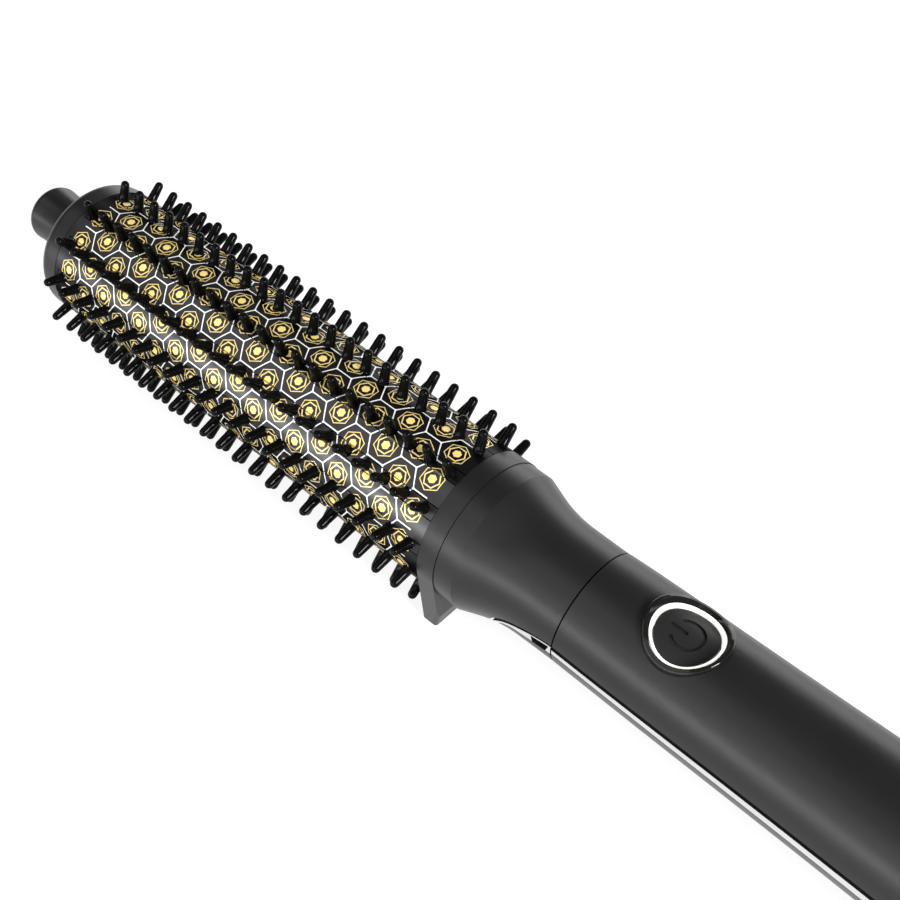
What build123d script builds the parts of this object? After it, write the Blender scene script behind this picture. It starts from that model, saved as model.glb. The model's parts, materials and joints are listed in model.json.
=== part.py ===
"""Heated round styling brush, in millimetres.

The origin is the mouth of the cord gland on the brush's long axis. +X points out of the handle's butt,
so the cool tip lies at -X, and +Z points up through the power button. The foot hangs below.
"""

from build123d import *
import math
import os

# Lengths along the brush, from the gland's mouth towards the tip
GLAND_REACH = 9.0
HANDLE_LENGTH = 132.0
NECK_LENGTH = 31.85
COLLAR_WIDTH = 5.1
BARREL_LENGTH = 136.7
TIP_LENGTH = 28.7

BUTT_X = -GLAND_REACH
SEAM_X = BUTT_X - HANDLE_LENGTH
COLLAR_REAR_X = SEAM_X - NECK_LENGTH
COLLAR_FRONT_X = COLLAR_REAR_X - COLLAR_WIDTH
BARREL_FRONT_X = COLLAR_FRONT_X - BARREL_LENGTH
TIP_X = BARREL_FRONT_X - TIP_LENGTH

# Gaps between neighbours
SEAM_GAP = 0.4
COLLAR_GAP = 0.1
SLIP_GAP = 0.05
MOVING_GAP = 0.3

# Barrel and bristles
BARREL_R = 19.0
BARREL_WALL = 1.5
STRIP_COUNT = 12
FIRST_STRIP_DEG = 15.0
RIB_INNER_R = 15.2
RIB_WIDTH = 7.4
SLOT_MOUTH = 3.6
SLOT_FOOT_WIDTH = 5.5
SLOT_FOOT_INNER_R = 16.2
SLOT_FOOT_OUTER_R = 17.6
SLOT_FRONT_LAND = 1.2
PIN_COUNT = 22
PIN_PITCH = 6.19
PIN_TIP_R = 24.8
PIN_ROOT_R = 17.9
PIN_ROOT_WIDTH = 2.5
PIN_DRAFT_DEG = 1.5
FIRST_PIN_INSET = 3.5

# Cool tip
TIP_RIM_R = 19.1
TIP_RIM_WIDTH = 4.05
SHOULDER_DEPTH = 6.0
SHOULDER_DROP = 12.0
SHOULDER_ROOT_R = 8.6
SPIGOT_LENGTH = 6.0
SPIGOT_R = RIB_INNER_R - SLIP_GAP
TIP_BOSS_R = 3.4
TIP_SCREW_R = 1.5

# Nose of the tip, as distance behind its end and radius, two points to an arc
NOSE_OUTLINE = [(0.0, 0.0), (0.2, 3.4), (0.7, 6.2), (1.4, 7.5), (3.0, 8.15), (10.0, 7.85), (15.0, 8.0)]

# Rest collar and its foot
COLLAR_R = 19.0
FOOT_DROP = 24.7
FOOT_HALF_WIDTH = 15.8
FOOT_FLANK_Y = 18.8
FOOT_FLANK_Z = -2.6
FOOT_HEEL_SLOPE = 1.4
FOOT_TOE_CHAMFER = 0.9
FOOT_EDGE_R = 1.2

# Bushing that carries the barrel
BUSHING_R = 16.0
BUSHING_SPIGOT_R = RIB_INNER_R - 0.1
BUSHING_BORE_R = 9.0
BUSHING_SPIGOT_LENGTH = 9.25
BUSHING_BODY_LENGTH = 8.7
LEDGE_THICKNESS = 2.0
LEDGE_BORE_R = 10.5

# Neck, as distance behind the collar and radius
NECK_RIM_R = 18.8
NECK_CREASE = (5.4, 18.75)
NECK_FLARE_START = (10.1, 17.05)
NECK_FLARE_END = (21.1, 14.98)
NECK_END_R = 14.8
NECK_WALL = 2.2

# Handle sections: distance behind the seam, radius, rise of the section's centre
HANDLE_SECTIONS = [
    (SEAM_GAP / 2, 14.87, 0.05),
    (17.0, 15.17, 0.12),
    (37.0, 15.38, 0.06),
    (57.0, 15.6, 0.1),
    (77.0, 15.93, 0.1),
    (102.0, 16.3, 0.05),
    (126.0, 16.0, 0.0),
]
SHELL_WALL = 2.2
SHELL_END_X = SEAM_X + HANDLE_SECTIONS[-1][0]

# Lines in side view, as distance behind the seam and height, from front to rear
NECK_PARTING = [
    (-20.6, -22.0),
    (-20.4, -16.5),
    (-19.0, -9.0),
    (-15.9, -4.1),
    (-10.4, -1.25),
    (-5.2, 0.17),
    (1.0, 0.84),
]
NECK_TRIM_TOP = [
    (-20.3, -22.0),
    (-20.1, -16.5),
    (-18.2, -9.3),
    (-14.9, -4.8),
    (-9.4, -1.8),
    (-5.2, -0.43),
    (1.0, 0.34),
]
NECK_TRIM_BOTTOM = [
    (-18.8, -22.0),
    (-18.6, -16.5),
    (-16.8, -9.5),
    (-14.1, -5.5),
    (-11.4, -4.1),
    (-8.5, -3.6),
    (-5.0, -3.15),
    (1.0, -2.65),
]
NECK_NOTCH = [(-5.75, -0.85), (-5.3, -3.7), (-1.8, -3.3), (-0.75, -0.12), (-3.0, -0.4)]
HANDLE_PARTING = [(-2.0, 0.85), (28.0, 0.95), (65.0, 1.05), (95.0, 1.1), (130.0, 1.3)]
HANDLE_TRIM_BOTTOM = [(-2.0, -2.12), (18.0, -2.42), (37.0, -2.55), (65.0, -2.7), (95.0, -2.85), (130.0, -2.7)]
SHADOW_GAP = 1.35
TRIM_SEAM = 0.22
TRIM_DEPTH = 1.4
TONGUE_RISE = 2.0
TONGUE_WALL = 1.6
REGION_FLOOR_Z = -40.0

# Button group, standing on its own axis
BUTTON_X = SEAM_X + 23.6
BEZEL_R = 9.9
BEZEL_CREST_Z = 16.3
BEZEL_FOOT_Z = 9.2
BEZEL_LIP_WIDTH = 0.8
BEZEL_LIP_DEPTH = 1.4
BEZEL_EDGE_R = 0.45
RING_R = 8.2
RING_LIP_R = 7.5
RING_CREST_Z = 14.7
RING_CURVE_R = 17.0
RING_BEVEL = 0.55
RING_STEP_Z = 11.3
RING_FOOT_Z = 8.0
RING_SKIRT_R = 7.9
CAP_R = 7.2
CAP_CREST_Z = 14.0
CAP_CURVE_R = 15.0
CAP_FLANGE_R = 7.7
CAP_FLANGE_Z = (9.9, 11.0)
CAP_STEM_R = 1.75
BUTTON_TRAVEL = 0.6
ICON_R = 3.65
ICON_LINE = 0.85
ICON_DEPTH = 0.45
ICON_GAP_DEG = 40.0

# Control board
BOARD_TOP_Z = 6.6
BOARD_THICKNESS = 1.6
BOARD_BOTTOM_Z = BOARD_TOP_Z - BOARD_THICKNESS
BOARD_FRONT_X = SEAM_X + 14.0
BOARD_REAR_X = SEAM_X + 79.0
BOARD_HALF_WIDTH = 9.5
BOARD_SCREW_XS = (SEAM_X + 37.0, SEAM_X + 76.0)
BOARD_SCREW_Y = 7.5
BOARD_POST_R = 2.3
BOARD_SCREW_R = 0.95
SWITCH_SIZE = 6.0
SWITCH_TOP_Z = 8.6
PLUNGER_R = 1.7
PLUNGER_Z = (7.4, 9.6)
BLOCK_LENGTH = 8.0
BLOCK_HALF_WIDTH = 8.0
BLOCK_BOTTOM_Z = -1.0

# Screws that hold the two handle shells together, one near each end
SHELL_SCREW_XS = (SEAM_X + 9.9, SEAM_X + 91.0)
SHELL_SCREW_R = 1.4
SHELL_SCREW_HEAD_R = 2.6
SHELL_BOSS_R = 3.1
SHELL_SCREW_HEAD_Z = -11.6
SHELL_SCREW_TIP_Z = 7.5

# Heater core inside the barrel
CORE_FRONT_X = BARREL_FRONT_X + 13.4
CORE_REAR_X = COLLAR_FRONT_X - 11.3
SPREADER_R = 14.95
SPREADER_WALL = 2.0
SPREADER_BASE_Z = (1.3, 3.8)
SPREADER_WEB = 2.4
HEATER_WIDTH = 16.0
HEATER_THICKNESS = 1.6
FILM_THICKNESS = 0.35
TERMINAL_Y = 5.0
LEAD_R = 0.9
SENSOR_LEAD_R = 0.5

# Swivelling cord gland
CORD_BORE_R = 3.6
CORD_BORE_LENGTH = 14.0
GLAND_HEAD_R = 7.6
GLAND_MOUTH_R = 6.2
JOURNAL_R = 5.92
CAP_BORE_R = 6.0
CAP_SPIGOT_R = 11.9
CAP_SPIGOT_LENGTH = 6.0
CLIP_THICKNESS = 0.8
CLIP_R = 7.4
CLIP_GROOVE_R = 5.2
STEM_R = 4.5
STEM_END_X = BUTT_X - 31.0
SLIP_RING_R = 5.1
SLIP_RING_WIDTH = 3.0
SLIP_RING_XS = (BUTT_X - 21.5, BUTT_X - 27.5)
CONTACT_Y = 5.4
CONTACT_THICKNESS = 0.5
CONTACT_BLOCK_Z = (-12.0, -9.0)
CONTACT_PAD_X = (BUTT_X - 29, BUTT_X - 18)

os.makedirs("parts", exist_ok=True)


def save(piece, name):
    """Label a finished piece and write its file."""
    piece.label = name
    export_step(piece, "parts/" + name + ".step")


def turned(points, mode=Mode.ADD):
    """Spin a closed outline of (x, radius) points about the long axis."""
    with BuildSketch(Plane.XZ) as outline:
        with BuildLine():
            Polyline(*points, close=True)
        make_face()
    revolve(outline.sketch, axis=Axis.X, mode=mode)


def tube(x_from, x_to, outer_r, inner_r=0.0, mode=Mode.ADD):
    """Plain ring or disc about the long axis."""
    turned([(x_from, inner_r), (x_from, outer_r), (x_to, outer_r), (x_to, inner_r)], mode)


def block(x_range, y_range, z_range, mode=Mode.ADD):
    """Box between two values on each axis."""
    with BuildSketch(Plane.XY.offset(z_range[0])) as base:
        with Locations(((x_range[0] + x_range[1]) / 2, (y_range[0] + y_range[1]) / 2)):
            Rectangle(x_range[1] - x_range[0], y_range[1] - y_range[0])
    extrude(base.sketch, amount=z_range[1] - z_range[0], mode=mode)


def post(spots, radius, z_range, mode=Mode.ADD):
    """Upright round posts, or holes, at the given (x, y) spots."""
    with BuildSketch(Plane.XY.offset(z_range[0])) as base:
        with Locations(*spots):
            Circle(radius)
    extrude(base.sketch, amount=z_range[1] - z_range[0], mode=mode)


def rod(x_range, spots, radius, mode=Mode.ADD):
    """Round rods along X, or holes, at the given (y, z) spots."""
    with BuildSketch(Plane.YZ.offset(x_range[0])) as base:
        with Locations(*spots):
            Circle(radius)
    extrude(base.sketch, amount=x_range[1] - x_range[0], mode=mode)


def neck_form(inset, mode=Mode.ADD):
    """Solid of the neck's outside, its surface lowered by inset."""
    crease = (COLLAR_REAR_X + NECK_CREASE[0], NECK_CREASE[1] - inset)
    flare_start = (COLLAR_REAR_X + NECK_FLARE_START[0], NECK_FLARE_START[1] - inset)
    flare_end = (COLLAR_REAR_X + NECK_FLARE_END[0], NECK_FLARE_END[1] - inset)
    front_x = COLLAR_REAR_X + COLLAR_GAP / 2
    rear_x = SEAM_X - SEAM_GAP / 2
    slope = (flare_start[0] - crease[0], flare_start[1] - crease[1])
    with BuildSketch(Plane.XZ) as outline:
        with BuildLine():
            Polyline((front_x, 0), (front_x, NECK_RIM_R - inset), crease, flare_start)
            TangentArc(flare_start, flare_end, tangent=slope)
            Polyline(flare_end, (rear_x, NECK_END_R - inset), (rear_x, 0), (front_x, 0))
        make_face()
    revolve(outline.sketch, axis=Axis.X, mode=mode)


def handle_form(inset, mode=Mode.ADD):
    """Solid of the handle's outside, its surface lowered by inset."""
    sections = []
    for distance, radius, rise in HANDLE_SECTIONS:
        with BuildSketch(Plane.YZ.offset(SEAM_X + distance)) as section:
            with Locations((0, rise)):
                Circle(radius - inset)
        sections.append(section.sketch)
    loft(sections, mode=mode)


def below(line, rise=0.0, reach=0.0):
    """Side view region under a line, moved up by rise and forward by reach."""
    points = [(SEAM_X + distance - reach, height + rise) for distance, height in line]
    with BuildSketch(Plane.XZ) as region:
        with BuildLine():
            Spline(*points)
            Polyline(points[-1], (points[-1][0], REGION_FLOOR_Z), (points[0][0], REGION_FLOOR_Z), points[0])
        make_face()
    return region.sketch


def cut_through(region, mode):
    """Push a side view region through the whole width of the brush."""
    extrude(region, amount=2 * COLLAR_R, both=True, mode=mode)


# Barrel: coated tube with inward ribs that hold the slots of the bristle strips
with BuildPart() as barrel_tube:
    with BuildSketch(Plane.YZ.offset(BARREL_FRONT_X)) as wall:
        Circle(BARREL_R)
        Circle(BARREL_R - BARREL_WALL, mode=Mode.SUBTRACT)
        with PolarLocations((RIB_INNER_R + BARREL_R - 1) / 2, STRIP_COUNT, FIRST_STRIP_DEG):
            Rectangle(BARREL_R - 1 - RIB_INNER_R, RIB_WIDTH)
    extrude(amount=BARREL_LENGTH)
    slot_front_x = BARREL_FRONT_X + SLOT_FRONT_LAND
    with BuildSketch(Plane.YZ.offset(slot_front_x)) as slots:
        with PolarLocations(BARREL_R, STRIP_COUNT, FIRST_STRIP_DEG):
            Rectangle(2 * (BARREL_R - SLOT_FOOT_OUTER_R) + 0.4, SLOT_MOUTH)
        with PolarLocations((SLOT_FOOT_INNER_R + SLOT_FOOT_OUTER_R) / 2, STRIP_COUNT, FIRST_STRIP_DEG):
            Rectangle(SLOT_FOOT_OUTER_R - SLOT_FOOT_INNER_R, SLOT_FOOT_WIDTH)
    extrude(amount=BARREL_LENGTH, mode=Mode.SUBTRACT)
save(barrel_tube.part, "barrel_tube")

# Bristle strips: a T-shaped bar, flush with the barrel, with one row of tapered pins
strip_front_x = slot_front_x + SLIP_GAP
strip_length = COLLAR_FRONT_X - SLIP_GAP - strip_front_x
pin_middle_x = BARREL_FRONT_X + FIRST_PIN_INSET + PIN_PITCH * (PIN_COUNT - 1) / 2
for index in range(STRIP_COUNT):
    angle = FIRST_STRIP_DEG + index * 360 / STRIP_COUNT
    outward = Vector(0, math.cos(math.radians(angle)), math.sin(math.radians(angle)))
    foot_r = (SLOT_FOOT_INNER_R + SLOT_FOOT_OUTER_R) / 2
    with BuildPart() as bristle_strip:
        with BuildSketch(Plane.YZ.offset(strip_front_x)):
            with PolarLocations(BARREL_R, 1, angle):
                Rectangle(2 * (BARREL_R - foot_r), SLOT_MOUTH - 2 * SLIP_GAP)
            with PolarLocations(foot_r, 1, angle):
                foot_height = SLOT_FOOT_OUTER_R - SLOT_FOOT_INNER_R - 2 * SLIP_GAP
                Rectangle(foot_height, SLOT_FOOT_WIDTH - 2 * SLIP_GAP)
            Circle(BARREL_R, mode=Mode.INTERSECT)
        extrude(amount=strip_length)
        pin_plane = Plane(outward * PIN_ROOT_R + Vector(pin_middle_x, 0, 0), x_dir=(1, 0, 0), z_dir=outward)
        with BuildSketch(pin_plane):
            with GridLocations(PIN_PITCH, 1, PIN_COUNT, 1):
                Rectangle(PIN_ROOT_WIDTH, PIN_ROOT_WIDTH)
        extrude(amount=PIN_TIP_R - PIN_ROOT_R, taper=PIN_DRAFT_DEG)
    save(bristle_strip.part, "bristle_strip_" + str(index + 1).zfill(2))

# Cool tip: domed shoulder with a stub nose, hollow, plugged into the barrel by its spigot
rim_front_x = BARREL_FRONT_X - TIP_RIM_WIDTH
shoulder_centre = (rim_front_x, TIP_RIM_R - SHOULDER_DROP)
root_angle = math.degrees(math.asin((SHOULDER_ROOT_R - shoulder_centre[1]) / SHOULDER_DROP))
shoulder_front_x = rim_front_x - SHOULDER_DEPTH
nose_points = [(TIP_X + distance, radius) for distance, radius in NOSE_OUTLINE]
with BuildPart() as cool_tip:
    with BuildSketch(Plane.XZ):
        with BuildLine():
            ThreePointArc(*nose_points[0:3])
            ThreePointArc(*nose_points[2:5])
            waist = ThreePointArc(*nose_points[4:7])
            shoulder = EllipticalCenterArc(
                shoulder_centre, SHOULDER_DEPTH, SHOULDER_DROP, start_angle=90, arc_size=90 - root_angle
            )
            Line(waist @ 1, shoulder @ 1)
            Polyline(
                shoulder @ 0,
                (BARREL_FRONT_X - SLIP_GAP, TIP_RIM_R),
                (BARREL_FRONT_X - SLIP_GAP, SPIGOT_R),
                (BARREL_FRONT_X + SPIGOT_LENGTH, SPIGOT_R),
                (BARREL_FRONT_X + SPIGOT_LENGTH, 0),
                (TIP_X, 0),
            )
        make_face()
    revolve(axis=Axis.X)
    turned(
        [
            (BARREL_FRONT_X + SPIGOT_LENGTH, TIP_BOSS_R),
            (BARREL_FRONT_X + SPIGOT_LENGTH, SPIGOT_R - 2),
            (rim_front_x - 2.6, SPIGOT_R - 2),
            (shoulder_front_x + 2, 11.0),
            (shoulder_front_x + 2, 5.4),
            (TIP_X + 3.5, 5.4),
            (TIP_X + 3.5, TIP_BOSS_R),
        ],
        Mode.SUBTRACT,
    )
    screw_hole_x = (BARREL_FRONT_X - 10, BARREL_FRONT_X + SPIGOT_LENGTH)
    rod(screw_hole_x, [(0, 0)], TIP_SCREW_R + SLIP_GAP, Mode.SUBTRACT)
save(cool_tip.part, "cool_tip")

# Tip insulator: disc behind the tip's spigot, with four legs that reach into the heat spreaders
insulator_x = (BARREL_FRONT_X + SPIGOT_LENGTH + SLIP_GAP, BARREL_FRONT_X + SPIGOT_LENGTH + 3)
leg_spots = [(y, z) for y in (-6, 6) for z in (-6, 6)]
with BuildPart() as tip_insulator:
    tube(insulator_x[0], insulator_x[1], RIB_INNER_R - 0.2, TIP_SCREW_R + 0.2)
    with BuildSketch(Plane.YZ.offset(insulator_x[1])):
        with Locations(*leg_spots):
            Rectangle(4, 4)
    extrude(amount=CORE_FRONT_X + 9 - insulator_x[1])
save(tip_insulator.part, "tip_insulator")

with BuildPart() as tip_screw:
    rod((insulator_x[1] - 14, insulator_x[1]), [(0, 0)], TIP_SCREW_R)
    tube(insulator_x[1], insulator_x[1] + 2, 2.8)
    block((insulator_x[1] + 1.2, insulator_x[1] + 2), (-2, 2), (-0.4, 0.4), Mode.SUBTRACT)
save(tip_screw.part, "tip_screw")

# Heat spreaders: two ribbed half-round bars pressed outwards against the barrel's ribs
for name, side in (("heat_spreader_upper", 1), ("heat_spreader_lower", -1)):
    with BuildPart() as heat_spreader:
        with BuildSketch(Plane.YZ.offset(CORE_FRONT_X)):
            Circle(SPREADER_R)
            Circle(SPREADER_R - SPREADER_WALL, mode=Mode.SUBTRACT)
            base_height = SPREADER_BASE_Z[1] - SPREADER_BASE_Z[0]
            with Locations((0, side * (SPREADER_BASE_Z[0] + base_height / 2))):
                Rectangle(2 * SPREADER_R - 1.5, base_height)
            with Locations((0, side * SPREADER_R / 2)):
                Rectangle(SPREADER_WEB, SPREADER_R - 1)
            cut_height = SPREADER_R + SPREADER_BASE_Z[0]
            with Locations((0, side * (SPREADER_BASE_Z[0] - cut_height / 2))):
                Rectangle(2 * SPREADER_R + 2, cut_height, mode=Mode.SUBTRACT)
        extrude(amount=CORE_REAR_X - CORE_FRONT_X)
    save(heat_spreader.part, name)

# Ceramic heater plate in its insulating film, with two terminals at the rear
with BuildPart() as heater_plate:
    half_plate = HEATER_THICKNESS / 2
    block((CORE_FRONT_X + 1, CORE_REAR_X), (-HEATER_WIDTH / 2, HEATER_WIDTH / 2), (-half_plate, half_plate))
save(heater_plate.part, "heater_plate")

with BuildPart() as heater_film:
    film_half_width = HEATER_WIDTH / 2 + SLIP_GAP + FILM_THICKNESS
    film_half_height = half_plate + SLIP_GAP + FILM_THICKNESS
    with BuildSketch(Plane.YZ.offset(CORE_FRONT_X + 1)):
        Rectangle(2 * film_half_width, 2 * film_half_height)
        Rectangle(HEATER_WIDTH + 2 * SLIP_GAP, HEATER_THICKNESS + 2 * SLIP_GAP, mode=Mode.SUBTRACT)
    extrude(amount=CORE_REAR_X - CORE_FRONT_X - 1)
save(heater_film.part, "heater_film")

terminal_end_x = CORE_REAR_X + 10
with BuildPart() as heater_terminals:
    for side in (-1, 1):
        block((CORE_REAR_X, terminal_end_x), (side * TERMINAL_Y - 1.5, side * TERMINAL_Y + 1.5), (-0.3, 0.3))
save(heater_terminals.part, "heater_terminals")

# Wave springs in the two side gaps push the spreaders apart
WAVE_PITCH = 12.0
WAVE_STRIP = 0.4
wave_count = int((CORE_REAR_X - CORE_FRONT_X - 8) / WAVE_PITCH)
wave_reach = SPREADER_BASE_Z[0] - WAVE_STRIP / 2 - SLIP_GAP
with BuildPart() as spreader_springs:
    wave_points = []
    for step in range(2 * wave_count + 1):
        height = wave_reach if step % 2 else -wave_reach
        wave_points.append((CORE_FRONT_X + 4 + step * WAVE_PITCH / 2, height))
    for edge_y in (9.2, -13.2):
        with BuildSketch(Plane.XZ.offset(-edge_y)) as wave:
            with BuildLine():
                Polyline(*wave_points)
            trace(line_width=WAVE_STRIP)
        extrude(wave.sketch, amount=-4)
save(spreader_springs.part, "spreader_springs")

# Temperature sensor lying in the upper spreader's channel
sensor_x = (CORE_REAR_X - 12, CORE_REAR_X - 7)
sensor_spot = (4.5, SPREADER_BASE_Z[1] + 1.25)
with BuildPart() as thermistor:
    rod(sensor_x, [sensor_spot], 1.2)
    fillet(thermistor.edges(), radius=0.5)
save(thermistor.part, "thermistor")

# Barrel bushing: heat-proof ring with a spigot in the barrel and a body inside collar and neck
spigot_x = COLLAR_FRONT_X - BUSHING_SPIGOT_LENGTH
bushing_rear_x = COLLAR_FRONT_X + BUSHING_BODY_LENGTH
ledge_x = (bushing_rear_x + SLIP_GAP, bushing_rear_x + SLIP_GAP + LEDGE_THICKNESS)
bushing_screw_spots = []
for index in range(3):
    turn = math.radians(90 + 120 * index)
    bushing_screw_spots.append((12.9 * math.cos(turn), 12.9 * math.sin(turn)))
with BuildPart() as barrel_bushing:
    turned(
        [
            (spigot_x, BUSHING_BORE_R),
            (spigot_x, BUSHING_SPIGOT_R),
            (COLLAR_FRONT_X + SLIP_GAP, BUSHING_SPIGOT_R),
            (COLLAR_FRONT_X + SLIP_GAP, BUSHING_R),
            (bushing_rear_x, BUSHING_R),
            (bushing_rear_x, BUSHING_BORE_R),
        ]
    )
    rod((bushing_rear_x - 6.5, bushing_rear_x), bushing_screw_spots, 1.15, Mode.SUBTRACT)
save(barrel_bushing.part, "barrel_bushing")

with BuildPart() as bushing_screws:
    rod((bushing_rear_x - 6, ledge_x[1]), bushing_screw_spots, 1.1)
    rod((ledge_x[1], ledge_x[1] + 1.5), bushing_screw_spots, 2.0)
save(bushing_screws.part, "bushing_screws")

# Rest collar: ring with a flat-bottomed foot that thins towards its heel
collar_x = (COLLAR_FRONT_X + SLIP_GAP, COLLAR_REAR_X - COLLAR_GAP / 2)
with BuildPart() as rest_collar:
    with BuildSketch(Plane.YZ.offset(collar_x[0])):
        Circle(COLLAR_R)
        with BuildLine():
            Polyline(
                (-FOOT_FLANK_Y, FOOT_FLANK_Z),
                (-FOOT_HALF_WIDTH, -FOOT_DROP),
                (FOOT_HALF_WIDTH, -FOOT_DROP),
                (FOOT_FLANK_Y, FOOT_FLANK_Z),
                close=True,
            )
        make_face()
        Circle(BUSHING_R + SLIP_GAP, mode=Mode.SUBTRACT)
    extrude(amount=collar_x[1] - collar_x[0])
    with BuildSketch(Plane.XZ) as foot_slopes:
        with BuildLine():
            Polyline(
                (collar_x[1], -COLLAR_R),
                (collar_x[1] + 1, -COLLAR_R),
                (collar_x[1] + 1, -FOOT_DROP),
                (collar_x[1] - FOOT_HEEL_SLOPE, -FOOT_DROP),
                close=True,
            )
        make_face()
        with BuildLine():
            Polyline(
                (collar_x[0], -FOOT_DROP),
                (collar_x[0] + FOOT_TOE_CHAMFER, -FOOT_DROP),
                (collar_x[0], -FOOT_DROP + FOOT_TOE_CHAMFER),
                close=True,
            )
        make_face()
    cut_through(foot_slopes.sketch, Mode.SUBTRACT)
    low_edges = rest_collar.edges().filter_by(lambda edge: edge.center().Z < -COLLAR_R - 0.5)
    side_edges = low_edges.filter_by(lambda edge: abs(edge.center().Y) > FOOT_HALF_WIDTH - 0.1)
    behind_toe = side_edges.filter_by(lambda edge: edge.center().X > collar_x[0] + FOOT_TOE_CHAMFER)
    fillet(behind_toe, radius=FOOT_EDGE_R)
save(rest_collar.part, "rest_collar")

# Neck shell: flared sleeve with a groove for the bright trim round its underside
with BuildPart() as trim_groove:
    neck_form(-1)
    neck_form(TRIM_DEPTH, Mode.SUBTRACT)
    cut_through(below(NECK_PARTING), Mode.INTERSECT)
    cut_through(below(NECK_TRIM_BOTTOM), Mode.SUBTRACT)
with BuildPart() as neck_shell:
    neck_form(0)
    add(trim_groove.part, mode=Mode.SUBTRACT)
    turned(
        [
            (COLLAR_REAR_X - 1, 0),
            (COLLAR_REAR_X - 1, BUSHING_R + 0.4),
            (ledge_x[0], BUSHING_R + 0.4),
            (ledge_x[0], LEDGE_BORE_R),
            (ledge_x[1], LEDGE_BORE_R),
            (ledge_x[1], 15.7),
            (COLLAR_REAR_X + 10, 14.4),
            (COLLAR_REAR_X + 21, 12.6),
            (SEAM_X, 12.5),
            (SEAM_X, 0),
        ],
        Mode.SUBTRACT,
    )
    rod((ledge_x[0], ledge_x[1]), bushing_screw_spots, 1.3, Mode.SUBTRACT)
save(neck_shell.part, "neck_shell")

# Neck trim: bright inlay round the underside, with a notch near its rear end on each side
with BuildPart() as neck_trim:
    neck_form(0)
    neck_form(TRIM_DEPTH - SLIP_GAP, Mode.SUBTRACT)
    cut_through(below(NECK_TRIM_TOP), Mode.INTERSECT)
    cut_through(below(NECK_TRIM_BOTTOM, TRIM_SEAM, SLIP_GAP), Mode.SUBTRACT)
    with BuildSketch(Plane.XZ) as trim_notch:
        with BuildLine():
            Polyline(*[(SEAM_X + distance, height) for distance, height in NECK_NOTCH], close=True)
        make_face()
    cut_through(trim_notch.sketch, Mode.SUBTRACT)
save(neck_trim.part, "neck_trim")

# Handle upper shell, with the button's opening, board posts, screw posts and a tongue into the neck
tongue_x = (SEAM_X - 6, SEAM_X + 6)
board_screw_spots = []
for x in BOARD_SCREW_XS:
    for y in (-BOARD_SCREW_Y, BOARD_SCREW_Y):
        board_screw_spots.append((x, y))
shell_screw_spots = [(x, 0) for x in SHELL_SCREW_XS]
with BuildPart() as upper_posts:
    post(board_screw_spots, BOARD_POST_R, (BOARD_TOP_Z + SLIP_GAP, 20))
    post(shell_screw_spots, SHELL_BOSS_R, (SLIP_GAP, 20))
    handle_form(SHELL_WALL / 2, Mode.INTERSECT)
with BuildPart() as handle_upper_shell:
    handle_form(0)
    handle_form(SHELL_WALL, Mode.SUBTRACT)
    add(upper_posts.part)
    cut_through(below(HANDLE_PARTING), Mode.SUBTRACT)
    tube(SEAM_X + SEAM_GAP, tongue_x[1], 13.2, 10.6)
    tube(tongue_x[0], SEAM_X + SEAM_GAP, 12.3, 10.6)
    post(board_screw_spots, BOARD_SCREW_R, (BOARD_TOP_Z - 1, BOARD_TOP_Z + 3.5), Mode.SUBTRACT)
    post(shell_screw_spots, SHELL_SCREW_R + SLIP_GAP, (-1, SHELL_SCREW_TIP_Z + 1), Mode.SUBTRACT)
    post([(BUTTON_X, 0)], BEZEL_R + SLIP_GAP, (2, 20), Mode.SUBTRACT)
save(handle_upper_shell.part, "handle_upper_shell")

# Handle lower shell: ledge for the trims, inner tongue behind the shadow gap, screw bosses
with BuildPart() as trim_ledge:
    handle_form(TRIM_DEPTH)
    cut_through(below(HANDLE_PARTING, -SLIP_GAP), Mode.INTERSECT)
with BuildPart() as inner_tongue:
    handle_form(SHELL_WALL + SLIP_GAP)
    cut_through(below(HANDLE_PARTING, TONGUE_RISE), Mode.INTERSECT)
with BuildPart() as lower_hollow:
    handle_form(SHELL_WALL)
    cut_through(below(HANDLE_TRIM_BOTTOM, TONGUE_RISE), Mode.INTERSECT)
with BuildPart() as lower_bosses:
    post(shell_screw_spots, SHELL_BOSS_R, (-COLLAR_R, 0))
    block(CONTACT_PAD_X, (-4, 4), (-COLLAR_R, CONTACT_BLOCK_Z[0] - SLIP_GAP))
    block((BUTTON_X - 1, BUTTON_X + 1), (-3.2, 3.2), (-COLLAR_R, BOARD_BOTTOM_Z - SLIP_GAP))
    handle_form(SHELL_WALL / 2, Mode.INTERSECT)
with BuildPart() as handle_lower_shell:
    handle_form(0)
    cut_through(below(HANDLE_TRIM_BOTTOM), Mode.INTERSECT)
    add(trim_ledge.part)
    add(inner_tongue.part)
    handle_form(SHELL_WALL + TONGUE_WALL, Mode.SUBTRACT)
    add(lower_hollow.part, mode=Mode.SUBTRACT)
    add(lower_bosses.part)
    post(shell_screw_spots, SHELL_SCREW_R + 0.2, (-20, 0.5), Mode.SUBTRACT)
    post(shell_screw_spots, SHELL_SCREW_HEAD_R + 0.3, (-20, SHELL_SCREW_HEAD_Z + SLIP_GAP), Mode.SUBTRACT)
    tube(tongue_x[0] - 1, tongue_x[1] + 0.2, 13.3, 0, Mode.SUBTRACT)
save(handle_lower_shell.part, "handle_lower_shell")

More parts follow.
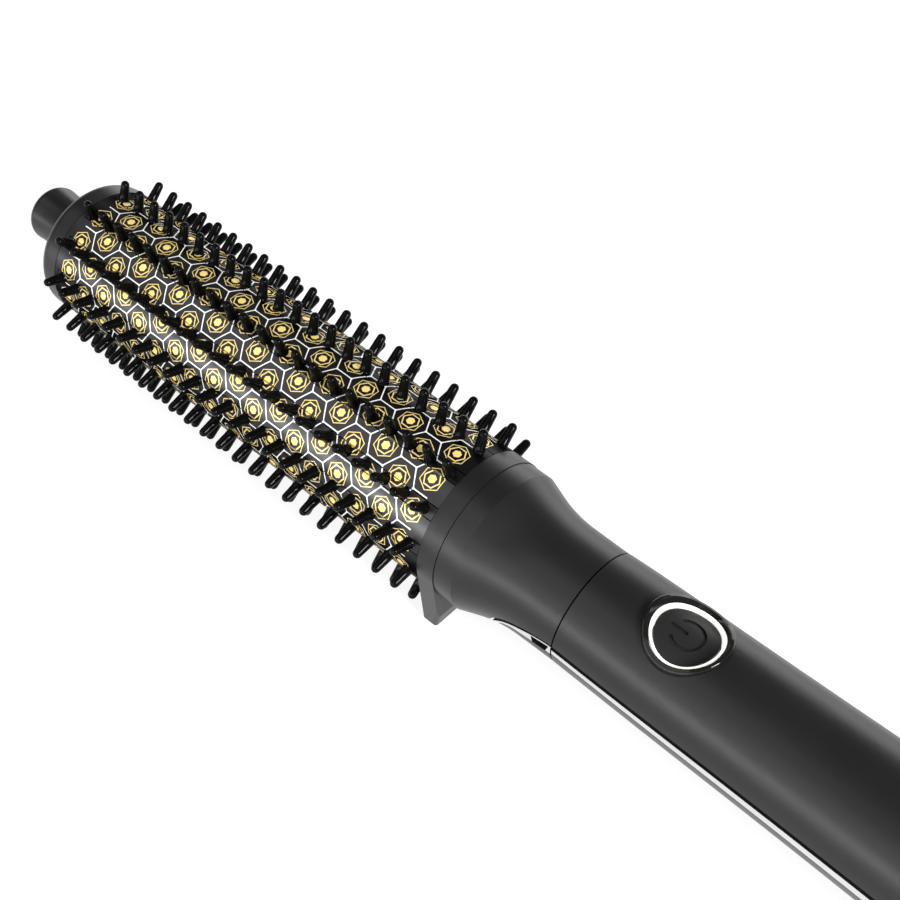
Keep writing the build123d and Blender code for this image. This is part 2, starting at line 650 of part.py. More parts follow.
# Bright trims, one along each side of the handle
for name, side in (("handle_trim_left", 1), ("handle_trim_right", -1)):
    with BuildPart() as handle_trim:
        handle_form(0)
        handle_form(TRIM_DEPTH - SLIP_GAP, Mode.SUBTRACT)
        cut_through(below(HANDLE_PARTING, -SHADOW_GAP), Mode.INTERSECT)
        cut_through(below(HANDLE_TRIM_BOTTOM, TRIM_SEAM), Mode.SUBTRACT)
        split(bisect_by=Plane.XZ, keep=Keep.BOTTOM if side > 0 else Keep.TOP)
    save(handle_trim.part, name)

with BuildPart() as shell_screws:
    post(shell_screw_spots, SHELL_SCREW_R, (SHELL_SCREW_HEAD_Z, SHELL_SCREW_TIP_Z))
    post(shell_screw_spots, SHELL_SCREW_HEAD_R, (SHELL_SCREW_HEAD_Z - 1.9, SHELL_SCREW_HEAD_Z))
    recess_z = (SHELL_SCREW_HEAD_Z - 1.9, SHELL_SCREW_HEAD_Z - 0.9)
    for x, y in shell_screw_spots:
        block((x - 1.6, x + 1.6), (-0.4, 0.4), recess_z, Mode.SUBTRACT)
        block((x - 0.4, x + 0.4), (-1.6, 1.6), recess_z, Mode.SUBTRACT)
save(shell_screws.part, "shell_screws")

# End cap: dome that closes the handle and carries the gland in its bore
cap_front_x = SHELL_END_X + SLIP_GAP
cap_r = HANDLE_SECTIONS[-1][1]
with BuildPart() as handle_end_cap:
    with BuildSketch(Plane.XZ):
        with BuildLine():
            Polyline(
                (BUTT_X, CAP_BORE_R),
                (cap_front_x - CAP_SPIGOT_LENGTH, CAP_BORE_R),
                (cap_front_x - CAP_SPIGOT_LENGTH, CAP_SPIGOT_R),
                (cap_front_x, CAP_SPIGOT_R),
                (cap_front_x, cap_r),
                (cap_front_x + 1.5, cap_r - 0.2),
            )
            TangentArc((cap_front_x + 1.5, cap_r - 0.2), (BUTT_X, 10.5), tangent=(1, -0.15))
            Line((BUTT_X, 10.5), (BUTT_X, CAP_BORE_R))
        make_face()
    revolve(axis=Axis.X)
    tube(cap_front_x - CAP_SPIGOT_LENGTH, BUTT_X - 2.5, CAP_SPIGOT_R - 2, CAP_BORE_R + 2.2, Mode.SUBTRACT)
save(handle_end_cap.part, "handle_end_cap")

# Swivelling cord gland: head, journal in the end cap, clip groove and insulating stem
journal_end_x = cap_front_x - CAP_SPIGOT_LENGTH - 0.4
with BuildPart() as swivel_gland:
    turned(
        [
            (0, 0),
            (0, GLAND_MOUTH_R),
            (BUTT_X + 3, GLAND_HEAD_R),
            (BUTT_X + MOVING_GAP, GLAND_HEAD_R),
            (BUTT_X + MOVING_GAP, JOURNAL_R),
            (journal_end_x, JOURNAL_R),
            (journal_end_x, CLIP_GROOVE_R),
            (journal_end_x - CLIP_THICKNESS, CLIP_GROOVE_R),
            (journal_end_x - CLIP_THICKNESS, JOURNAL_R),
            (journal_end_x - 2.2, JOURNAL_R),
            (journal_end_x - 2.2, STEM_R),
            (STEM_END_X, STEM_R),
            (STEM_END_X, 0),
        ]
    )
    tube(-CORD_BORE_LENGTH, 0, CORD_BORE_R, 0, Mode.SUBTRACT)
    tube(STEM_END_X + 2, -CORD_BORE_LENGTH, 2.4, 0, Mode.SUBTRACT)
    mouth = swivel_gland.edges().filter_by(GeomType.CIRCLE).group_by(Axis.X)[-1]
    fillet(mouth.sort_by(SortBy.RADIUS)[-1], radius=1.2)
save(swivel_gland.part, "swivel_gland")

with BuildPart() as swivel_clip:
    clip_x = (journal_end_x - CLIP_THICKNESS + SLIP_GAP, journal_end_x - SLIP_GAP)
    tube(clip_x[0], clip_x[1], CLIP_R, CLIP_GROOVE_R + SLIP_GAP)
    block((clip_x[0], clip_x[1]), (-1.6, 1.6), (0, 10), Mode.SUBTRACT)
save(swivel_clip.part, "swivel_clip")

with BuildPart() as slip_rings:
    for x in SLIP_RING_XS:
        tube(x - SLIP_RING_WIDTH, x, SLIP_RING_R, STEM_R + 0.02)
save(slip_rings.part, "slip_rings")

# Contact block on the lower shell's pad, with one springy contact beside each slip ring
with BuildPart() as contact_block:
    block((BUTT_X - 33, BUTT_X - 17), (-6.4, 6.4), CONTACT_BLOCK_Z)
save(contact_block.part, "contact_block")

with BuildPart() as contact_springs:
    for x, side in zip(SLIP_RING_XS, (1, -1)):
        y_range = sorted((side * CONTACT_Y, side * (CONTACT_Y + CONTACT_THICKNESS)))
        block((x - SLIP_RING_WIDTH, x), y_range, (CONTACT_BLOCK_Z[1], 3.0))
save(contact_springs.part, "contact_springs")

# Button bezel: raised glossy ring whose crest follows the handle's curve and slopes in to the light ring
long_axis_plane = Plane.YZ.offset(BUTTON_X - 2 * BEZEL_R)


def curved_top(crest_z, curve_r):
    """Keep what lies in a cylinder along the brush with its crest at the given height."""
    with BuildSketch(long_axis_plane) as crest:
        with Locations((0, crest_z - curve_r)):
            Circle(curve_r)
    extrude(crest.sketch, amount=4 * BEZEL_R, mode=Mode.INTERSECT)


def crest_edge(piece, radius):
    """Highest edge of a piece at the given distance from the button's axis."""
    upper = piece.edges().filter_by(lambda edge: edge.bounding_box().max.Z > RING_STEP_Z + 1)
    return upper.filter_by(lambda edge: abs(edge.bounding_box().size.X / 2 - radius) < SLIP_GAP / 2)


with BuildPart() as button_bezel:
    with BuildSketch(Plane.XY.offset(BEZEL_FOOT_Z)):
        with Locations((BUTTON_X, 0)):
            Circle(BEZEL_R)
            Circle(RING_R + SLIP_GAP, mode=Mode.SUBTRACT)
    extrude(amount=12)
    curved_top(BEZEL_CREST_Z, BEZEL_CREST_Z)
    inner_wall = button_bezel.faces().filter_by(GeomType.CYLINDER).filter_by(
        lambda face: abs(face.bounding_box().size.X / 2 - RING_R - SLIP_GAP) < SLIP_GAP / 2
    )[0]
    chamfer(
        crest_edge(button_bezel, RING_R + SLIP_GAP),
        length=BEZEL_LIP_DEPTH,
        length2=BEZEL_LIP_WIDTH,
        reference=inner_wall,
    )
    fillet(crest_edge(button_bezel, BEZEL_R), radius=BEZEL_EDGE_R)
save(button_bezel.part, "button_bezel")

# Light ring: clear guide from the board's lights up to the bevelled ring that shows round the cap
with BuildPart() as light_ring:
    with BuildSketch(Plane.XY.offset(RING_FOOT_Z)):
        with Locations((BUTTON_X, 0)):
            Circle(RING_R)
    extrude(amount=10)
    curved_top(RING_CREST_Z, RING_CURVE_R)
    post([(BUTTON_X, 0)], RING_LIP_R, (RING_FOOT_Z, 20), Mode.SUBTRACT)
    post([(BUTTON_X, 0)], RING_SKIRT_R, (RING_FOOT_Z, RING_STEP_Z), Mode.SUBTRACT)
    chamfer(crest_edge(light_ring, RING_LIP_R), length=RING_BEVEL)
save(light_ring.part, "light_ring")

# Power button: curved cap with an engraved power symbol, a retaining flange and a stem
with BuildPart() as power_symbol:
    with BuildSketch(Plane.XY.offset(RING_STEP_Z)):
        with BuildLine(Location((BUTTON_X, 0, 0))) as icon_arc:
            CenterArc((0, 0), ICON_R, 180 + ICON_GAP_DEG, 360 - 2 * ICON_GAP_DEG)
        trace(icon_arc.line, line_width=ICON_LINE)
        with Locations((BUTTON_X - ICON_R / 2 - 0.4, 0)):
            Rectangle(ICON_R + 0.8, ICON_LINE)
    extrude(amount=5)
    with BuildSketch(long_axis_plane) as floor:
        with Locations((0, CAP_CREST_Z - CAP_CURVE_R)):
            Circle(CAP_CURVE_R - ICON_DEPTH)
    extrude(floor.sketch, amount=4 * BEZEL_R, mode=Mode.SUBTRACT)
with BuildPart() as power_button:
    with BuildSketch(Plane.XY.offset(CAP_FLANGE_Z[1])):
        with Locations((BUTTON_X, 0)):
            Circle(CAP_R)
    extrude(amount=5)
    curved_top(CAP_CREST_Z, CAP_CURVE_R)
    add(power_symbol.part, mode=Mode.SUBTRACT)
    post([(BUTTON_X, 0)], CAP_FLANGE_R, CAP_FLANGE_Z)
    post([(BUTTON_X, 0)], CAP_STEM_R, (PLUNGER_Z[1], CAP_FLANGE_Z[0]))
save(power_button.part, "power_button")

# Key switch on the board, with the plunger that the button's stem pushes
with BuildPart() as switch_body:
    half = SWITCH_SIZE / 2
    block((BUTTON_X - half, BUTTON_X + half), (-half, half), (BOARD_TOP_Z, SWITCH_TOP_Z))
    post([(BUTTON_X, 0)], PLUNGER_R + 0.08, (BOARD_TOP_Z + 0.1, SWITCH_TOP_Z), Mode.SUBTRACT)
save(switch_body.part, "switch_body")

with BuildPart() as switch_plunger:
    post([(BUTTON_X, 0)], PLUNGER_R, PLUNGER_Z)
save(switch_plunger.part, "switch_plunger")

# Control board and what it carries
with BuildPart() as control_board:
    block((BOARD_FRONT_X, BOARD_REAR_X), (-BOARD_HALF_WIDTH, BOARD_HALF_WIDTH), (BOARD_BOTTOM_Z, BOARD_TOP_Z))
    post(board_screw_spots, BOARD_SCREW_R + 0.15, (BOARD_BOTTOM_Z, BOARD_TOP_Z), Mode.SUBTRACT)
    fillet(control_board.edges().filter_by(Axis.Z).group_by(Axis.X)[0], radius=1)
save(control_board.part, "control_board")

with BuildPart() as board_screws:
    post(board_screw_spots, BOARD_SCREW_R - SLIP_GAP, (BOARD_BOTTOM_Z, BOARD_TOP_Z + 3))
    post(board_screw_spots, 1.8, (BOARD_BOTTOM_Z - 1.4, BOARD_BOTTOM_Z))
save(board_screws.part, "board_screws")

with BuildPart() as ring_lights:
    with BuildSketch(Plane.XY.offset(BOARD_TOP_Z)):
        with Locations((BUTTON_X, 0)):
            with PolarLocations((RING_R + RING_SKIRT_R) / 2, 6):
                Rectangle(1.2, 2.0)
    extrude(amount=0.9)
save(ring_lights.part, "ring_lights")

chip_x = BUTTON_X + 22
with BuildPart() as controller_chip:
    block((chip_x, chip_x + 6), (-2, 2), (BOARD_TOP_Z, BOARD_TOP_Z + 1.5))
save(controller_chip.part, "controller_chip")

with BuildPart() as film_capacitor:
    block((chip_x - 5, chip_x + 12.5), (-8, 0), (BOARD_BOTTOM_Z - 10, BOARD_BOTTOM_Z))
    fillet(film_capacitor.edges().filter_by(Axis.Z), radius=1)
save(film_capacitor.part, "film_capacitor")

with BuildPart() as power_chip:
    block((chip_x - 5, chip_x + 5), (1.5, 8.5), (BOARD_BOTTOM_Z - 4.4, BOARD_BOTTOM_Z))
save(power_chip.part, "power_chip")

with BuildPart() as terminal_blocks:
    for front_x in (BOARD_FRONT_X, BOARD_REAR_X - BLOCK_LENGTH):
        block((front_x, front_x + BLOCK_LENGTH), (-5.6, 5.6), (BLOCK_BOTTOM_Z, BOARD_BOTTOM_Z))
save(terminal_blocks.part, "terminal_blocks")

# In-line thermal fuse on the left heater lead, inside the neck
fuse_x = (COLLAR_REAR_X, COLLAR_REAR_X + 10)
lead_level_z = 1.7
with BuildPart() as thermal_fuse:
    rod(fuse_x, [(-TERMINAL_Y, 0)], 2.0)
save(thermal_fuse.part, "thermal_fuse")


def wire(points, bend_r, wire_r):
    """Round wire along straight runs joined by tangent arcs."""
    with BuildLine() as path:
        FilletPolyline(*points, radius=bend_r)
    with BuildSketch(Plane(path.line @ 0, z_dir=path.line % 0)) as section:
        Circle(wire_r)
    sweep(section.sketch, path=path.line)


bend_x = (SEAM_X - 14, SEAM_X - 2)
lead_y = 4.6
with BuildPart() as heater_leads:
    wire(
        [
            (terminal_end_x, TERMINAL_Y, 0),
            (bend_x[0], TERMINAL_Y, 0),
            (bend_x[1], lead_y, lead_level_z),
            (BOARD_FRONT_X, lead_y, lead_level_z),
        ],
        12,
        LEAD_R,
    )
    wire(
        [
            (fuse_x[1], -TERMINAL_Y, 0),
            (bend_x[0], -TERMINAL_Y, 0),
            (bend_x[1], -lead_y, lead_level_z),
            (BOARD_FRONT_X, -lead_y, lead_level_z),
        ],
        12,
        LEAD_R,
    )
    rod((terminal_end_x, fuse_x[0]), [(-TERMINAL_Y, 0)], LEAD_R)
save(heater_leads.part, "heater_leads")

with BuildPart() as sensor_leads:
    for start_y, end_y in ((sensor_spot[0] - 0.6, -3.9), (sensor_spot[0] + 0.6, 3.9)):
        wire(
            [
                (sensor_x[1], start_y, sensor_spot[1]),
                (COLLAR_REAR_X, start_y, sensor_spot[1]),
                (bend_x[0], end_y, BOARD_BOTTOM_Z - 1),
                (BOARD_FRONT_X, end_y, BOARD_BOTTOM_Z - 1),
            ],
            12,
            SENSOR_LEAD_R,
        )
save(sensor_leads.part, "sensor_leads")

with BuildPart() as supply_leads:
    for y in (-4.9, 4.9):
        wire(
            [
                (BOARD_REAR_X, y, lead_level_z),
                (BOARD_REAR_X + 7, y, lead_level_z),
                (BUTT_X - 41, y, -10.5),
                (BUTT_X - 33, y, -10.5),
            ],
            5,
            LEAD_R,
        )
save(supply_leads.part, "supply_leads")
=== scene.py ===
"""Heated styling brush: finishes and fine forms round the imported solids, in metres.

The row frame is the brush's own: +X out of the handle's butt, +Z up through the power button.
"""

import bpy
import json
import math
from mathutils import Matrix, Vector


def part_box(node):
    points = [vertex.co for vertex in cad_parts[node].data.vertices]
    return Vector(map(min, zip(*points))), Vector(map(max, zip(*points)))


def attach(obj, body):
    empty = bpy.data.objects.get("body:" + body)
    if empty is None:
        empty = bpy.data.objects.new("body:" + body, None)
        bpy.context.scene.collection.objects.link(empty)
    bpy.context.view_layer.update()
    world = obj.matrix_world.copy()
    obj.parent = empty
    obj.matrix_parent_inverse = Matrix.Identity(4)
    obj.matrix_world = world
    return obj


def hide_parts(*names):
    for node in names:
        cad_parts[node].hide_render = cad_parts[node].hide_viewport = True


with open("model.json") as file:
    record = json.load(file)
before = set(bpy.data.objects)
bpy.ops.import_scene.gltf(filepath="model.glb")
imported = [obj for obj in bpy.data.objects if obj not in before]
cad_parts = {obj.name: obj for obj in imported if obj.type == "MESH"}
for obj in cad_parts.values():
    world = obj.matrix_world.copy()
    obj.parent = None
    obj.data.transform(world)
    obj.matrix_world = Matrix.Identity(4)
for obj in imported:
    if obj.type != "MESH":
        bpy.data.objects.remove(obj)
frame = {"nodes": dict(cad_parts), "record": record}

MM = 0.001

# Where the brush is seen from
CAMERA_PLACE = Vector((-0.05037, -0.15639, 0.25027))
CAMERA_AIM = Vector((-0.19662, 0.01255, 0.0))
CAMERA_ROLL = math.radians(2.598)
CAMERA_LENS = 54.13

# Sizes that the solids give
BARREL_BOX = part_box("barrel_tube")
COLLAR_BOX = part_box("rest_collar")
BARREL_R = BARREL_BOX[1].z
FLOOR_Z = COLLAR_BOX[0].z
SHELL_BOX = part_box("handle_upper_shell")
SHELL_FRONT_R = 14.87 * MM
SHELL_REAR_R = SHELL_BOX[1].y
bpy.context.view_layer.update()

# Bristle strips, read with the same driving sizes as the solids
STRIP_COUNT = 12
FIRST_STRIP_DEG = 15.0
PIN_COUNT = 22
PIN_PITCH = 6.19 * MM
FIRST_PIN_INSET = 3.5 * MM
PIN_ROOT_R = 1.38 * MM
PIN_TIP_R = 1.17 * MM
PIN_FLARE = 0.22 * MM
PIN_FLARE_HEIGHT = 0.35 * MM
PIN_TOP_R = 24.8 * MM
PIN_SINK = 0.1 * MM
PIN_SIDES = 12
PIN_RINGS = 7
FLARE_RING = 1
DOME_RING = 3
DOME_POLE_GAP = 0.02
BAR_HALF_WIDTH = 1.53 * MM
BAR_END_GAP = 0.18 * MM
BAR_DEPTH = 2.0 * MM
BAR_CURVE_POINTS = 9
SHARP_EDGE_DEG = 50

# Printed net on the barrel: cells round and along it, and hexagon sizes as shares of a cell
NET_CELLS = 14
NET_COLUMNS = 18
NET_LINE = 0.018
NET_KNOT = 0.056
PRINT_EDGE = 0.006
CORNER_REACH = 0.5774
GOLD_OUTER = (0.312, 0.012)
GOLD_MIDDLE = (0.222, 0.018)
GOLD_CENTRE = 0.115
CELL = 2 * math.pi * BARREL_R / NET_CELLS
COLUMN_PITCH = math.sqrt(0.75) * CELL
FIRST_COLUMN = (BARREL_BOX[1].x - BARREL_BOX[0].x - (NET_COLUMNS - 1) * COLUMN_PITCH) / 2
NET_END = FIRST_COLUMN - 0.22 * CELL
GOLD_END = FIRST_COLUMN - COLUMN_PITCH / 2
PRINT_END_EDGE = 0.1 * MM

# Grain and flow marks of the mouldings, as noise cells in a metre, and the depths of what is bumped
GRAIN_SCALE = 5200.0
FLOW_SCALE = 60.0
GRAIN_DEPTH = 0.03 * MM
SKIN_DEPTH = 0.1 * MM
LINE_DEPTH = 0.02 * MM
WEAVE_DEPTH = 0.08 * MM
WEAVE_ALONG = 1900
WEAVE_ACROSS = 900

# The white floor
FLOOR_REACH = 12.0
FLOOR_DROP = 0.2 * MM


class Value:
    """A node socket that takes part in ordinary arithmetic by adding Math nodes."""

    def __init__(self, nodes, socket):
        self.nodes = nodes
        self.socket = socket

    def math(self, operation, *terms):
        return self.nodes.add("ShaderNodeMath", {"operation": operation}, dict(enumerate(terms)))

    def __add__(self, other):
        return self.math("ADD", self, other)

    def __radd__(self, other):
        return self.math("ADD", other, self)

    def __sub__(self, other):
        return self.math("SUBTRACT", self, other)

    def __rsub__(self, other):
        return self.math("SUBTRACT", other, self)

    def __mul__(self, other):
        return self.math("MULTIPLY", self, other)

    def __rmul__(self, other):
        return self.math("MULTIPLY", other, self)

    def __truediv__(self, other):
        return self.math("DIVIDE", self, other)

    def __abs__(self):
        return self.math("ABSOLUTE", self)

    def fraction(self):
        return self.math("FRACT", self)

    def at_least(self, other):
        return self.math("MAXIMUM", self, other)

    def at_most(self, other):
        return self.math("MINIMUM", self, other)

    def angle_from(self, other):
        return self.math("ARCTAN2", self, other)

    def root(self):
        return self.math("SQRT", self)

    def sine(self):
        return self.math("SINE", self)

    def cosine(self):
        return self.math("COSINE", self)

    def step(self, low, high):
        """0 below low, 1 above high, smooth between."""
        settings = {"interpolation_type": "SMOOTHSTEP"}
        inputs = {"Value": self, "From Min": low, "From Max": high}
        return self.nodes.add("ShaderNodeMapRange", settings, inputs)

    def inside(self, middle, half_width, edge):
        """1 where the value is within half_width of middle."""
        return 1 - abs(self - middle).step(half_width - edge, half_width + edge)


class Nodes:
    """Adds nodes to one tree."""

    def __init__(self, tree):
        self.tree = tree

    def add(self, kind, settings=None, inputs=None, output=0):
        """A new node: its settings first, then the values or links of its inputs."""
        node = self.tree.nodes.new(kind)
        for name, value in (settings or {}).items():
            setattr(node, name, value)
        for key, value in (inputs or {}).items():
            if isinstance(value, Value):
                self.tree.links.new(value.socket, node.inputs[key])
            else:
                node.inputs[key].default_value = value
        return Value(self, node.outputs[output]) if node.outputs else None

    def place(self):
        """The point's own place on the brush, and its three parts."""
        point = self.add("ShaderNodeTexCoord", output="Object")
        split = self.add("ShaderNodeSeparateXYZ", inputs={0: point})
        parts = [Value(self, output) for output in split.socket.node.outputs]
        return point, parts[0], parts[1], parts[2]

    def noise(self, point, scale, detail=3.0, roughness=0.55):
        inputs = {"Vector": point, "Scale": scale, "Detail": detail, "Roughness": roughness}
        return self.add("ShaderNodeTexNoise", inputs=inputs)

    def blend(self, share, first, second):
        """Mix of two colours."""
        inputs = {0: share, 6: first, 7: second}
        return self.add("ShaderNodeMix", {"data_type": "RGBA"}, inputs, output=2)

    def bump(self, height, strength, distance):
        inputs = {"Strength": strength, "Distance": distance, "Height": height}
        return self.add("ShaderNodeBump", inputs=inputs)

    def stretched(self, point, scale):
        """The point with its axes stretched, for grain that runs one way."""
        return self.add("ShaderNodeMapping", inputs={"Vector": point, "Scale": scale})


def grey(level):
    return (level, level, level, 1)


def shade(colour, factor, lift=0.0):
    """The colour made darker or lighter, at most white."""
    return tuple(min(1.0, factor * part + lift) for part in colour[:3]) + (1,)


def material(name):
    """An empty material, its node adder and its Principled shader."""
    made = bpy.data.materials.new(name)
    made.use_nodes = True
    made.node_tree.nodes.clear()
    nodes = Nodes(made.node_tree)
    shader = nodes.add("ShaderNodeBsdfPrincipled")
    nodes.add("ShaderNodeOutputMaterial", inputs={"Surface": shader})
    return made, nodes, shader.socket.node


def put(nodes, shader, **inputs):
    """Set or link inputs of a shader, with spaces written as underscores."""
    for key, value in inputs.items():
        socket = shader.inputs[key.replace("_", " ")]
        if isinstance(value, Value):
            nodes.tree.links.new(value.socket, socket)
        else:
            socket.default_value = value


def satin_skin(nodes, shader, point, colour, roughness):
    """Spark-eroded grain and an uneven sheen on the shader. Gives back the colour with faint flow marks."""
    fine = nodes.noise(point, GRAIN_SCALE, 2.0)
    broad = nodes.noise(point, FLOW_SCALE, 4.0)
    put(
        nodes,
        shader,
        Roughness=roughness - 0.05 + 0.07 * broad + 0.05 * fine,
        Normal=nodes.bump(fine, 0.25, GRAIN_DEPTH),
    )
    return nodes.blend(broad, shade(colour, 0.86), shade(colour, 1.12))


def moulded_plastic(name, colour, roughness, specular=0.5):
    """Satin moulded plastic."""
    made, nodes, shader = material(name)
    skin = satin_skin(nodes, shader, nodes.place()[0], colour, roughness)
    put(nodes, shader, Base_Color=skin, Specular_IOR_Level=specular)
    return made


def grey_shell(name, colour, roughness):
    """Satin grey moulding with painted shade: its tongue and ledge behind the trims are painted near-black
    where shade falls in the gap.
    """
    made, nodes, shader = material(name)
    point, x, y, z = nodes.place()
    skin = satin_skin(nodes, shader, point, colour, roughness)
    growth = (SHELL_REAR_R - SHELL_FRONT_R) / (SHELL_BOX[1].x - SHELL_BOX[0].x)
    skin_r = SHELL_FRONT_R + (x - SHELL_BOX[0].x) * growth
    # Painted shade: near-black where the surface lies more than 0.4 mm inside the shell's skin, in the
    # shadow gap behind the trims
    painted_gap_shade = (skin_r - (y * y + z * z).root()).step(0.4 * MM, 0.7 * MM)
    put(nodes, shader, Base_Color=nodes.blend(painted_gap_shade, skin, grey(0.002)))
    return made


def polished_plastic(name, colour, roughness, specular=0.5):
    """Glossy moulded plastic with a faint orange-peel skin."""
    made, nodes, shader = material(name)
    point = nodes.place()[0]
    skin = nodes.noise(point, 420.0, 2.0)
    smear = nodes.noise(point, 90.0, 4.0)
    put(
        nodes,
        shader,
        Base_Color=nodes.blend(smear, colour, shade(colour, 1.25, 0.001)),
        Roughness=roughness + 0.06 * smear,
        Normal=nodes.bump(skin, 0.12, SKIN_DEPTH),
        Specular_IOR_Level=specular,
    )
    return made


def metal(name, colour, roughness, grain_scale, grain):
    """Metal with fine lines along the brush."""
    made, nodes, shader = material(name)
    point = nodes.place()[0]
    lines = nodes.noise(nodes.stretched(point, grain_scale), 1.0, 3.0)
    cloud = nodes.noise(point, 150.0, 3.0)
    put(
        nodes,
        shader,
        Base_Color=nodes.blend(cloud, shade(colour, 0.84), colour),
        Roughness=roughness + 0.10 * lines,
        Normal=nodes.bump(lines, grain, LINE_DEPTH),
        Metallic=1.0,
    )
    return made


def hexagon_sizes(across, along):
    """Distances from a cell's middle to a flat-sided hexagon's sides, and to one turned by 30 degrees."""
    flat = across.at_least(0.5 * across + math.sqrt(0.75) * along)
    turned = along.at_least(0.5 * along + math.sqrt(0.75) * across)
    return flat, turned


def printed_coat(name):
    """Glossy charcoal coat with a printed honeycomb net and gold nested hexagons."""
    made, nodes, shader = material(name)
    point, x, y, z = nodes.place()

    # Place on the net in cells, kept above 0, and the distances to the middles of the two nearest cells
    across = z.angle_from(y) * (NET_CELLS / (2 * math.pi)) + NET_CELLS
    row = math.sqrt(3)
    along = (x - BARREL_BOX[0].x - FIRST_COLUMN) / CELL + 4 * row
    places = []
    for shift in (0.0, 0.5):
        places.append((
            abs((across + shift).fraction() - 0.5),
            abs((along / row + shift).fraction() - 0.5) * row,
        ))
    reach = [u * u + v * v for u, v in places]
    second_nearer = (reach[0] - reach[1]).step(-0.0001, 0.0001)
    u = places[0][0] + second_nearer * (places[1][0] - places[0][0])
    v = places[0][1] + second_nearer * (places[1][1] - places[0][1])

    # White lines with thicker knots between the cells, gold hexagons in them, and plain ends
    flat, turned = hexagon_sizes(u, v)
    net = (0.5 - flat).inside(0.0, NET_LINE, PRINT_EDGE)
    knot = ((0.5 - flat) + (CORNER_REACH - turned)).inside(0.0, NET_KNOT, PRINT_EDGE)
    white = net.at_least(knot)
    gold = turned.inside(*GOLD_OUTER, PRINT_EDGE)
    gold = gold.at_least(flat.inside(*GOLD_MIDDLE, PRINT_EDGE))
    gold = gold.at_least(1 - turned.step(GOLD_CENTRE - PRINT_EDGE, GOLD_CENTRE + PRINT_EDGE))
    from_end = (x - BARREL_BOX[0].x).at_most(BARREL_BOX[1].x - x)
    gold = gold * from_end.step(GOLD_END, GOLD_END + PRINT_END_EDGE)
    printed = gold.at_least(white * from_end.step(NET_END, NET_END + PRINT_END_EDGE))

    mottle = nodes.noise(point, 700.0, 3.0)
    coat = nodes.blend(mottle, (0.043, 0.043, 0.045, 1), (0.052, 0.052, 0.054, 1))
    gold_ink = nodes.blend(mottle, (0.88, 0.64, 0.16, 1), (0.96, 0.75, 0.25, 1))
    white_ink = nodes.blend(mottle, (0.90, 0.90, 0.89, 1), (0.97, 0.97, 0.95, 1))
    ink = nodes.blend(gold, white_ink, gold_ink)
    put(
        nodes,
        shader,
        Base_Color=nodes.blend(printed, coat, ink),
        Metallic=1 - 0.80 * printed,
        Roughness=0.27 + 0.05 * mottle,
        Normal=nodes.bump(printed + 0.15 * mottle, 0.25, GRAIN_DEPTH),
        Specular_IOR_Level=0.56,
        Specular_Tint=grey(0.25),
    )
    return made


def glowing_guide(name):
    """White light guide, lit evenly from below."""
    made, nodes, shader = material(name)
    point = nodes.place()[0]
    cloud = nodes.noise(point, 300.0, 3.0)
    put(
        nodes,
        shader,
        Base_Color=nodes.blend(cloud, (0.86, 0.85, 0.80, 1), (0.93, 0.92, 0.88, 1)),
        Roughness=0.35 + 0.1 * cloud,
        Emission_Color=nodes.blend(cloud, (1.0, 0.97, 0.88, 1), (1.0, 0.985, 0.93, 1)),
        Emission_Strength=0.75,
    )
    return made


def braided_sleeve(name, colour):
    """Glass-fibre sleeve: two crossing sets of fine strands."""
    made, nodes, shader = material(name)
    point, x, y, z = nodes.place()
    lean = (y + z) * WEAVE_ACROSS
    one = (x * WEAVE_ALONG + lean).fraction().inside(0.5, 0.28, 0.1)
    other = (x * WEAVE_ALONG - lean).fraction().inside(0.5, 0.28, 0.1)
    weave = one.at_least(other)
    put(
        nodes,
        shader,
        Base_Color=nodes.blend(weave, shade(colour, 0.6), colour),
        Roughness=0.75 - 0.1 * weave,
        Normal=nodes.bump(weave, 0.4, WEAVE_DEPTH),
    )
    return made


